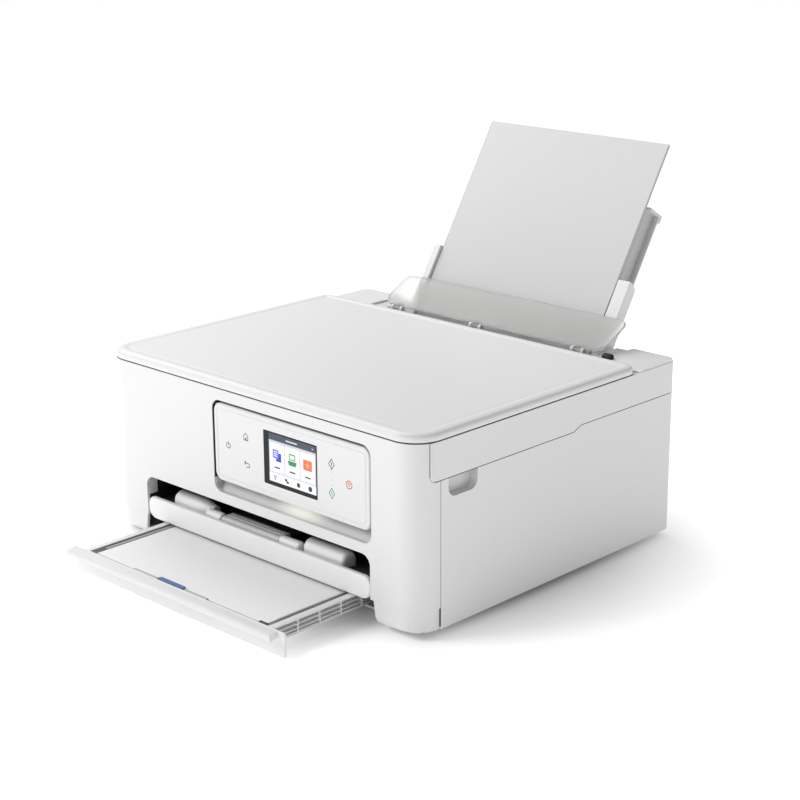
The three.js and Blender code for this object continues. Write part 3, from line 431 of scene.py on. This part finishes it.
# ------------------------------------------------------------------ CAD nodes that keep their shape
KEPT = {
    WHITE: {
        "front_cover": 0.7, "base_tray": 0.5, "left_cover": 0.3, "right_cover": 0.3,
        "rear_cover": 0.3, "scanner_case": 0.3, "rear_guide_left": 0.6, "rear_guide_right": 0.6,
    },
    LIGHT: {
        "feeder_housing": 0.4, "rear_tray": 0.3, "paper_support": 0.5, "idler_gear": 0.1,
        "idler_pulley": 0.3,
    },
    GREY: {
        "cassette_guide_left": 0.3, "cassette_guide_right": 0.3, "pickup_arm": 0.3,
        "color_cartridge": 0.8, "lid_hinge_left": 0.4, "lid_hinge_right": 0.4,
    },
    DARK: {
        "power_inlet": 0.4, "output_frame": 0.3, "platen": 0.2, "paper_turn_guide": 0.2,
        "feed_roller": 0.2, "eject_roller": 0.2, "purge_unit": 0.5, "carriage": 0.5,
        "black_cartridge": 0.8, "power_supply": 0.5, "scanner_tray": 0.3, "scan_bar": 0.4,
    },
    RUBBER: {
        "foot_front_left": 0.6, "foot_front_right": 0.6, "foot_rear_left": 0.6,
        "foot_rear_right": 0.6, "pickup_roller": 0.4, "rear_feed_roller": 0.4,
        "carriage_belt": 0.1,
    },
    STEEL: {"main_chassis": 0.2, "guide_shaft": 0.3, "feed_motor": 0.5, "carriage_motor": 0.5},
    PLATED: {"usb_port": 0.2, "motor_pinion": 0.1, "motor_pulley": 0.2},
    BED_GLASS: {"platen_glass": 0.2},
    BLUE: {"cassette_front_guide": 0.4},
    BOARD: {"main_board": 0.2},
    FELT: {"ink_absorber": 1.0, "document_pad": 0.5},
    # The panel's recess, in painted shade and painted light.
    RECESS_PAINTED_LIGHT_AND_SHADE: {"panel_recess": 0.5},
}


def dress_kept_nodes():
    """Finishes the CAD nodes whose shape stays: KEPT gives each one's material and rounding in mm."""
    for material, names in KEPT.items():
        for name, bevel in names.items():
            dress(name, material, bevel)


# ------------------------------------------------------------------ document cover
LID_REAR = 107
LID_RADII = (25, 25, 12, 12)
LID_HINGES = (-120, 120)
# The lid's edge from its underside up and in over the rim to the flat top: inset from outside, Z.
LID_PROFILE = (
    (6, 163.8), (3, 163.6), (3, 160.4), (1.2, 160.2), (0.3, 160.5), (0, 161.3), (0, 163.4),
    (0.3, 164.7), (1.0, 165.8), (2.3, 166.5), (4.2, 166.85), (6.4, 167.0), (8.4, 166.95),
    (9.6, 166.75), (10.4, 166.45), (11.2, 166.3), (12.2, 166.4), (13.6, 166.5), (15, 166.5),
    (30, 166.5), (60, 166.5),
)


# Room for the hinge posts as the lid swings: a seat, and a lower cut through the rear rim.
HINGE_NOTCHES = [(x - 6.5, x + 6.5, *cut) for x in LID_HINGES
                 for cut in ((91, 105.8, 159, 165.5), (105, 107.5, 159, 162.9))]


def lid_outline(inset):
    return outline(-HALF_WIDTH, HALF_WIDTH, FRONT, LID_REAR, LID_RADII, inset, 12)


def notch(obj, cuts):
    """Cuts box-shaped notches out of a finished piece."""
    bm = bmesh.new()
    for cut in cuts:
        box(bm, *cut)
    bmesh.ops.recalc_face_normals(bm, faces=bm.faces)
    bmesh.ops.transform(bm, matrix=Matrix.Scale(MM, 4), verts=bm.verts)
    mesh = bpy.data.meshes.new("notch")
    bm.to_mesh(mesh)
    bm.free()
    cutter = bpy.data.objects.new("notch", mesh)
    bpy.context.scene.collection.objects.link(cutter)
    tool = obj.modifiers.new("notch", "BOOLEAN")
    tool.object = cutter
    tool.operation = "DIFFERENCE"
    tool.solver = "EXACT"
    tool.use_self = True
    bpy.context.view_layer.update()
    done = obj.evaluated_get(bpy.context.evaluated_depsgraph_get())
    obj.data = bpy.data.meshes.new_from_object(done)
    obj.modifiers.clear()
    bpy.data.objects.remove(cutter)


def make_lid():
    """The document cover's skin: a raised soft rim round a flat top, with two pairs of hinge ears."""
    bm = bmesh.new()
    loft(bm, [(lid_outline(inset), z) for inset, z in LID_PROFILE], "z")
    for x in LID_HINGES:
        box(bm, x - 12, x - 6.5, 92, 103, 160.3, 164.5)
        box(bm, x + 6.5, x + 12, 92, 103, 160.3, 164.5)
    skin = piece("document_cover_skin", bm, "document_cover", WHITE,
                 ["document_cover"])
    notch(skin, HINGE_NOTCHES)


# The parting line along the top of the side covers, in Y and Z.
SIDE_SEAM = ((-142.6, 128.4), (-139, 128.4), (22, 128.4), (32, 132.4), (153.3, 132.4))
# How far the seam's band of painted shade reaches below and above that line.
SEAM_BELOW = 0.5
SEAM_ABOVE = 0.15


def make_seam_shade():
    """Painted shade: dark strips in the gaps where the covers meet and under the lid, and a dark plate
    under the body as painted contact shadow.
    """
    bm = bmesh.new()
    band = [(y, z - SEAM_BELOW) for y, z in SIDE_SEAM]
    band += [(y, z + SEAM_ABOVE) for y, z in reversed(SIDE_SEAM)]
    for side in (-1, 1):
        span = mirrored(side, 186.6, HALF_WIDTH + 0.02)
        extrude(bm, band, *span, "x")
        box(bm, *span, -137.3, -136.9, 9, 128)
        box(bm, *mirrored(side, 184.9, 186.45), -147.45, -146.8, 132.5, 159.2)
    # Dark strips in the covers' gaps: painted shade.
    piece("seam_painted_shade", bm, "base", DARK)
    bm = bmesh.new()
    # A dark ring in the gap under the lid's rim: painted shade.
    ring(bm, lid_outline(0.5), lid_outline(2.6), 159.45, 160.4)
    notch(piece("lid_gap_painted_shade", bm, "document_cover", DARK), HINGE_NOTCHES)
    bm = bmesh.new()
    # A dark plate under the body: painted contact shadow.
    box(bm, -183, 183, -134, 157, 6.22, 6.45)
    for side in (-1, 1):
        box(bm, *mirrored(side, 146, 183), -152, -133.9, 6.22, 6.45)
    piece("underside_painted_shadow", bm, "base", DARK)


# ------------------------------------------------------------------ control panel and screen
# Rectangles on the front are left, right, bottom and top.
PANEL = (-44.2, 137.4, 80, 147.6)
PANEL_FACE = FRONT + 0.4
# The panel's edge from its hidden back round to its face, with a fine groove: inset, Y.
PANEL_PROFILE = (
    (8.0, FRONT + 2.9), (2.0, FRONT + 2.9), (2.0, FRONT + 6.8), (1.7, FRONT + 7.0),
    (0.3, FRONT + 7.0), (0, FRONT + 6.7), (0, FRONT + 1.9), (0.25, FRONT + 1.15),
    (0.85, FRONT + 0.6), (1.7, PANEL_FACE), (4.1, PANEL_FACE), (4.25, PANEL_FACE + 0.35),
    (4.75, PANEL_FACE + 0.35), (4.9, PANEL_FACE), (12, PANEL_FACE),
)
PRINT_FRONT = PANEL_FACE - 0.05
RECESS = (-45.6, 138.8, 69.5, 150)
RECESS_BACK = -150.2
SCREEN = (16.8, 79.4, 91.4, 137)
GLASS_FACE = FRONT + 0.28
DISPLAY = (23.6, 78.0, 95.2, 135.6)
LAYER_STEP = 0.04  # how far each layer of the display lies in front of the one below
LAYER_DEPTH = 0.03


def make_panel():
    """The tilting panel's fascia and its two pivots."""
    bm = bmesh.new()
    rings = [(outline(*PANEL, (8, 8, 8, 8), inset, 8), y) for inset, y in PANEL_PROFILE]
    loft(bm, rings, "y")
    for x0, x1 in ((-46.2, -42), (135.2, 139.4)):
        extrude(bm, circle(-158.6, 144.6, 1.1, 16), x0, x1, "x")
    piece("panel_fascia", bm, "control_panel", WHITE, ["control_panel"])


def make_recess_lining():
    """Painted shade: a thin dark lining on the recess walls from the panel's lower edge up, in the gap
    round the panel.
    """
    walls = []
    for inset in (0.03, 0.5):
        points = [(x, z) for x, z in outline(*RECESS, (9,) * 4, inset, 8) if z > 82]
        walls.append([(RECESS[1] - inset, 81)] + points + [(RECESS[0] + inset, 81)])
    bm = bmesh.new()
    extrude(bm, walls[0] + walls[1][::-1], FRONT + 0.6, RECESS_BACK - 0.03, "y")
    extrude(bm, walls[1], RECESS_BACK - 0.5, RECESS_BACK - 0.03, "y")
    piece("recess_painted_shade", bm, "base", DARK)


def key_prints():
    """The touch keys' signs: power, home, back, two starts and stop."""
    lines = {MARK: [], TEAL: [], CORAL: []}
    x, z = -26.5, 113.3
    lines[MARK] += [(circle(x, z, 2.4, 20, 120, 300), 0.5, False), ([(x, z), (x, z + 3.4)], 0.5, False)]
    x, z = -4.6, 125.2
    house = [(x - 2.4, z - 2.8), (x + 2.4, z - 2.8), (x + 2.4, z + 0.9), (x, z + 3.2), (x - 2.4, z + 0.9)]
    lines[MARK] += [(house, 0.5, True), ([(x, z - 2.6), (x, z - 0.4)], 1.1, False)]
    x, z = -4.1, 101.8
    hook = [(x - 2.8, z + 1.0), (x + 1.4, z + 1.0)] + circle(x + 1.4, z - 0.7, 1.7, 10, 90, -180)
    lines[MARK] += [(hook + [(x - 0.6, z - 2.4)], 0.55, False),
                    ([(x - 1.2, z + 2.5), (x - 2.9, z + 1.0), (x - 1.2, z - 0.5)], 0.55, False)]
    for x, z, ink in ((95.6, 125.6, MARK), (95.5, 101.5, TEAL)):
        diamond = [(x, z - 4.2), (x + 3.1, z), (x, z + 4.2), (x - 3.1, z)]
        lines[ink] += [(diamond, 0.55, True), ([(x, z - 1.5), (x, z + 1.5)], 0.6, False)]
    for z in (112.4, 107.9, 119.2):
        lines[MARK].append(([(95.3, z), (95.7, z)], 0.4, False))
    x, z = 114.8, 113.3
    lines[CORAL] += [(circle(x, z, 3.3, 8, 22.5), 0.6, True),
                     ([(x - 1.3, z + 1.1), (x + 1.3, z + 1.1), (x, z - 1.2)], 0.45, True)]
    names = {MARK: "key_signs", TEAL: "start_sign", CORAL: "stop_sign"}
    for ink, strokes in lines.items():
        bm = bmesh.new()
        for points, width, closed in strokes:
            ribbon(bm, points, width * 1.2, PRINT_FRONT, PANEL_FACE + 0.05, closed)
        piece(names[ink], bm, "control_panel", ink)


def display_layer(name, color, shapes, level, strength=0.9):
    """Flat shapes on the display: each is a list of corners in X and Z."""
    bm = bmesh.new()
    front = GLASS_FACE - LAYER_STEP * level
    for points in shapes:
        extrude(bm, points, front, front + LAYER_DEPTH, "y")
    piece(name, bm, "control_panel", lit(name + "_light", color, strength))


def rectangle(x0, x1, z0, z1):
    return [(x0, z0), (x1, z0), (x1, z1), (x0, z1)]


def star(x, z, outer, inner, tips):
    """A star or a gear: points that turn round a middle at two radii in turn."""
    points = []
    for k in range(2 * tips):
        radius = inner if k % 2 else outer
        angle = k * math.pi / tips
        points.append((x + radius * math.cos(angle), z + radius * math.sin(angle)))
    return points


def make_screen():
    """The touch screen: a glass slab, a header, three cards with icons, and a strip of signs."""
    bm = bmesh.new()
    profile = ((3, FRONT + 4.4), (0.2, FRONT + 4.4), (0, FRONT + 4.2), (0, GLASS_FACE + 0.2),
               (0.2, GLASS_FACE), (3, GLASS_FACE))
    loft(bm, [(outline(*SCREEN, (1.2,) * 4, inset, 5), y) for inset, y in profile], "y")
    piece("screen_glass_slab", bm, "control_panel", BLACK_GLASS, ["touch_screen"])
    left, right, bottom, top = DISPLAY
    display_layer("display_ground", (0.62, 0.66, 0.70), [rectangle(left, right, bottom, top)], 1)
    display_layer("display_header", (0.035, 0.055, 0.085),
                  [rectangle(left, right, top - 5.4, top)], 2)
    card = (right - left - 4.4) / 3
    cards, icons_x = [], []
    for i in range(3):
        x0 = left + 1.1 + i * (card + 1.1)
        cards.append(outline(x0, x0 + card, bottom + 8.6, top - 7.4, (1.2,) * 4, 0, 4))
        icons_x.append(x0 + card / 2)
    strip = [rectangle(left, right, bottom, bottom + 7.4)]
    display_layer("display_cards", (0.90, 0.92, 0.94), cards + strip, 2)
    middle = bottom + 22.5
    copy, scan, photo = icons_x
    display_layer("copy_back", (0.02, 0.04, 0.55), [
        rectangle(copy - 1.2, copy + 4.8, middle - 4.6, middle + 2.6)], 3)
    display_layer("copy_front", (0.16, 0.20, 0.80), [
        rectangle(copy - 5.0, copy + 1.6, middle - 2.2, middle + 5.2)], 4)
    display_layer("copy_lines", (0.85, 0.88, 0.95), [
        rectangle(copy - 3.8, copy + 0.4, middle + z, middle + z + 0.8) for z in (-0.6, 1.2, 3.0)], 5)
    display_layer("scan_body", (0.01, 0.26, 0.07), [
        [(scan - 5.2, middle - 0.6), (scan + 5.2, middle - 0.6), (scan + 4.0, middle - 4.4),
         (scan - 4.0, middle - 4.4)],
        rectangle(scan - 3.6, scan + 3.6, middle + 0.2, middle + 5.4)], 3)
    display_layer("scan_page", (0.80, 0.92, 0.82), [
        rectangle(scan - 2.7, scan + 2.7, middle + 1.0, middle + 4.5)], 4)
    display_layer("photo_frame", (0.85, 0.16, 0.04), [
        outline(photo - 5.0, photo + 5.0, middle - 4.0, middle + 4.6, (0.8,) * 4, 0, 3)], 3)
    upright = [(photo + v, middle + 0.3 + u) for u, v in star(0, 0, 2.9, 1.3, 5)]
    display_layer("photo_star", (0.95, 0.45, 0.25), [upright[::-1]], 4)
    bars = [rectangle(x - 3.2, x + 3.2, bottom + 12.0, bottom + 13.2) for x in icons_x]
    signs = []
    step = (right - left) / 4
    for i in range(4):
        x, z = left + step * (i + 0.5), bottom + 3.7
        if i == 0:
            signs += [circle(x, z - 1.6, 0.6, 8), rectangle(x - 1.3, x + 1.3, z - 0.5, z + 0.1),
                      rectangle(x - 2.2, x + 2.2, z + 1.0, z + 1.6)]
        elif i == 1:
            signs += [rectangle(x - 2.2, x + 0.4, z - 0.2, z + 1.8),
                      rectangle(x - 0.4, x + 2.2, z - 1.8, z + 0.2)]
        elif i == 2:
            signs.append(star(x, z, 2.3, 1.7, 8))
        else:
            signs.append(circle(x, z, 2.2, 20))
    display_layer("display_signs", (0.03, 0.04, 0.07), bars + signs, 3, 0.4)
    display_layer("header_bar", (0.75, 0.80, 0.85), [
        rectangle(left + 20, left + 33, top - 3.2, top - 2.2),
        [(right - 4.4, top - 2.2), (right - 3.4, top - 3.4), (right - 2.4, top - 2.2)]], 3)


# ------------------------------------------------------------------ output tray
def lobe(bm, x0, x1, place, radius, foot, steps, starts, ends):
    """A half-round hump along X, on a foot at one height.

    place is its middle in Y and Z. starts and ends give its taper at each end, as the distance
    from that end and the share of the radius there.
    """
    y, z = place
    marks = [(x0 + d, s) for d, s in starts] + [(x1 - d, s) for d, s in reversed(ends)]
    rings = []
    for x, share in marks:
        r = radius * share
        rings.append((circle(y, z, r, steps, 0, 180) + [(y - r, foot), (y + r, foot)], x))
    loft(bm, rings, "x")


def make_output_tray():
    """The pull-out tray: a rounded front bar, four humps behind it, and a dark ribbed plate."""
    bm = bmesh.new()
    bar = (-136.2, 136.2, 22.3, 42)
    profile = ((1.2, -158.4), (0.2, -158.6), (0, -159.0), (0, -160.9), (0.35, -161.8),
               (1.1, -162.3), (2.2, -162.5), (6, -162.5))
    loft(bm, [(outline(*bar, (9, 9, 7, 7), inset, 8), y) for inset, y in profile], "y")
    round_end = ((0, 0.72), (0.7, 0.86), (1.8, 0.96), (3.2, 1.0))
    slope_end = ((0, 0.56), (4, 0.66), (9, 0.86), (14, 0.97), (19, 1.0))
    small_end = ((0, 0.8), (1.0, 0.96), (2.0, 1.0))
    lobe(bm, -110, -62, (-147.5, 42), 8.2, 34.5, 20, round_end, slope_end)
    lobe(bm, 53, 100, (-147.5, 42), 8.2, 34.5, 20, round_end, round_end)
    lobe(bm, -65, -46.2, (-153.5, 41.6), 4.4, 35, 16, small_end, small_end)
    lobe(bm, 26.2, 50, (-153.5, 41.6), 4.4, 35, 16, small_end, small_end)
    # The tray's body takes the lighter copy of the white plastic: painted light.
    piece("output_tray_body", bm, "output_tray", TRAY_PAINTED_LIGHT, ["output_tray"],
          bevel=0.4)
    bm = bmesh.new()
    box(bm, -134, 134, -158.9, -62, 34.4, 36.6)
    for side in (-1, 1):
        low, high = sorted((side * 129, side * 133.5))
        box(bm, low, high, -158.9, -62, 25, 34.4)
    for x in (-100, -75, 62, 87, 112):
        box(bm, x, x + 1.2, -140, -64, 36.5, 37.5)
    piece("output_tray_plate", bm, "output_tray", CHARCOAL, bevel=0.3)


def make_slot_walls():
    """Light side walls just inside the output slot."""
    bm = bmesh.new()
    for side in (-1, 1):
        box(bm, *mirrored(side, 136.5, 136.97), -159.8, -151.5, 42.6, 57.5)
    piece("slot_side_walls", bm, "base", WHITE)


def make_output_support():
    """The leaf between the lobes: a light rounded nose and a dark plate behind it."""
    bm = bmesh.new()
    nose = circle(-153.5, 40.6, 3.6, 20, 90, 180) + [
        (-143.2, 38.2), (-142.8, 38.6), (-142.8, 43.6), (-143.4, 44.1)]
    extrude(bm, nose, -45.4, 25.4, "x")
    for y in (-150.4, -146.6):
        marks = ((-43.6, 0.3), (-43.2, 0.75), (-42.2, 1.0), (22.2, 1.0), (23.2, 0.75), (23.6, 0.3))
        loft(bm, [(circle(y, 43.9, 0.8 * share, 12), x) for x, share in marks], "x")
    piece("output_support_leaf", bm, "output_support", LIGHT,
          ["output_support"], bevel=0.25)
    bm = bmesh.new()
    box(bm, -45.2, 25.2, -142.9, -84, 39.3, 43.0)
    for x in (-35, -22, -9, 4, 17):
        box(bm, x - 0.6, x + 0.6, -141, -86, 42.9, 43.7)
    piece("output_support_plate", bm, "output_support", CHARCOAL, bevel=0.25)


# ------------------------------------------------------------------ paper and cassette
def sheets(bm, count, width, length, thickness, drift):
    """A stack drawn flat: X across, Y along the sheets, Z up through the stack."""
    for i in range(count):
        dx = random.uniform(-drift, drift)
        dy = random.uniform(-drift, drift)
        low = i * thickness
        box(bm, -width / 2 + dx, width / 2 + dx, dy, length + dy, low, low + thickness * 0.86)


def make_papers():
    """The cassette's stack, the rear stack, and grey strips along the rear stack's edges as painted
    shade.
    """
    bm = bmesh.new()
    sheets(bm, 20, 209.4, 296.6, 0.46, 0.28)
    piece("cassette_sheets", bm, "cassette", PAPER, ["cassette_paper"],
          Matrix.Translation((0, -243.2, 11.0)))
    bm = bmesh.new()
    sheets(bm, 8, 209.4, 296.4, 0.375, 0.3)
    up_the_slope = SLOPE @ Matrix.Rotation(math.radians(90), 4, "X") @ Matrix.Translation((0, 0.3, -3))
    piece("rear_sheets", bm, "rear_paper", PAINTED_SHADE_REAR_SHEETS, ["rear_paper"], up_the_slope)
    # Grey strips along the stack's sides: painted shade on its edges.
    bm = bmesh.new()
    for side in (-1, 1):
        box(bm, *mirrored(side, 104.6, 105.02), 0.15, 2.8, 0.6, 295.8)
    piece("rear_sheet_edge_painted_shade", bm, "rear_paper", GREY, place=SLOPE)


TRAY_FRONT = -248
TRAY_REAR = 58
RIB_PITCH = 23


def make_cassette():
    """The pulled-out cassette: an open tray with ribbed rails, a front wall and a grip lip."""
    bm = bmesh.new()
    box(bm, -116.4, 116.4, TRAY_FRONT + 1, TRAY_REAR, 9, 10.6)
    box(bm, -116.4, 116.4, TRAY_REAR - 2, TRAY_REAR, 9, 18)
    for side in (-1, 1):
        box(bm, *mirrored(side, 110.9, 117), TRAY_FRONT + 1, TRAY_REAR, 20.0, 21.4)
        for z in (9, 12.7, 16.4):
            box(bm, *mirrored(side, 111.6, 117), TRAY_FRONT + 1, TRAY_REAR, z, z + 0.8)
        for k in range(14):
            y = TRAY_FRONT + 4 + RIB_PITCH * k
            box(bm, *mirrored(side, 111.6, 116.9), y, min(y + 1.2, TRAY_REAR), 9.3, 20.6)
    front = (-131, 131, 1.2, 21.6)
    profile = ((1, TRAY_FRONT + 2.4), (0, TRAY_FRONT + 2.0), (0, TRAY_FRONT + 0.5),
               (0.4, TRAY_FRONT), (4, TRAY_FRONT))
    loft(bm, [(outline(*front, (2, 2, 1, 1), inset, 5), y) for inset, y in profile], "y")
    piece("cassette_body", bm, "cassette", WHITE, ["cassette"], bevel=0.25)
    bm = bmesh.new()
    for side in (-1, 1):
        box(bm, *mirrored(side, 110.9, 112.0), TRAY_FRONT + 1, TRAY_REAR, 9.5, 20.6)
    piece("cassette_rail_cores", bm, "cassette", GREY)
    bm = bmesh.new()
    lip = [(-256.4, 16.2), (-255.6, 15.1), (-254.0, 14.7), (-247.6, 17.4), (-247.4, 21.2),
           (-255.2, 20.9), (-256.1, 20.4), (-256.4, 19.4)]
    extrude(bm, lip, -129, 124, "x")
    # The lip takes the darker copy of the white plastic: painted shade.
    piece("cassette_lip", bm, "cassette", LIP_PAINTED_SHADE, bevel=0.35)
    bm = bmesh.new()
    for x0, x1 in ((-54, -23.6), (9.6, 38)):
        loft(bm, [(outline(x0, x1, -245.3, -242.2, (1, 1, 1, 1), inset, 4), z)
                  for inset, z in ((0.2, 19.6), (0, 20.0), (0, 20.8), (0.3, 21.1))], "z")
    piece("cassette_front_strips", bm, "cassette", GREY, bevel=0.1)
    bm = bmesh.new()
    box(bm, -108, 108, TRAY_FRONT + 2.5, TRAY_FRONT + 3.9, 17.5, 19.6)
    box(bm, 98, 107, TRAY_FRONT + 2.6, TRAY_FRONT + 6.4, 20.3, 20.8)
    piece("cassette_front_groove", bm, "cassette", DARK)


# ------------------------------------------------------------------ rear feed
def make_feed_details():
    """Dark strips beside the sheets, and grey strips on the inside of the support's two channels as
    painted shade.
    """
    bm = bmesh.new()
    for side in (-1, 1):
        box(bm, *mirrored(side, 104.2, 109.5), 3.7, 4.4, 63, 150)
    piece("guide_dark_strips", bm, "base", DARK, place=SLOPE)
    bm = bmesh.new()
    # Grey strips on the channel walls: painted shade inside the channels.
    for side in (-1, 1):
        box(bm, *mirrored(side, 101.1, 101.6), 8.6, 21.6, 133, 234)
        box(bm, *mirrored(side, 103.4, 103.9), 21.6, 22.15, 133, 234)
    piece("support_channel_painted_shade", bm, "paper_support", CHANNEL_SHADOW_GREY, place=SLOPE)


def make_flap_stop():
    """Rubber stop on the casing, just beside the flap's right corner."""
    bm = bmesh.new()
    marks = ((139.6, 1.6), (140.2, 2.8), (141.4, 3.4), (147.5, 3.4), (149.2, 2.9), (150, 1.8))
    loft(bm, [(circle(*FLAP_AXIS, radius, 20), x) for x, radius in marks], "x")
    piece("flap_stop", bm, "scanner_unit", RUBBER)


def make_flap():
    """The frosted flap, drawn level from its hinge line: a beaded leaf on three knuckles."""
    bm = bmesh.new()
    area = (-127, 138.4, 2, 44)
    profile = ((3, 0.2), (0.6, 0.2), (0.1, 0.5), (0, 1.0), (0.15, 1.9), (0.6, 2.45), (1.3, 2.6),
               (2.0, 2.4), (2.6, 1.75), (3.2, 1.5), (8, 1.5))
    loft(bm, [(outline(*area, (13, 13, 8, 8), inset, 10), z) for inset, z in profile], "z")
    for x in FLAP_KNUCKLES:
        extrude(bm, circle(0, 0, 1.6, 16), x - 6.6, x + 6.6, "x")
        box(bm, x - 4, x + 4, -0.6, 5, -1.4, 1)
    piece("frosted_flap", bm, "feed_slot_cover", FROSTED, ["feed_slot_cover"],
          FLAP_PLACE)


make_camera()
make_studio()
dress_kept_nodes()
make_lid()
make_seam_shade()
make_panel()
make_recess_lining()
key_prints()
make_screen()
make_output_tray()
make_slot_walls()
make_output_support()
make_papers()
make_cassette()
make_feed_details()
make_flap_stop()
make_flap()
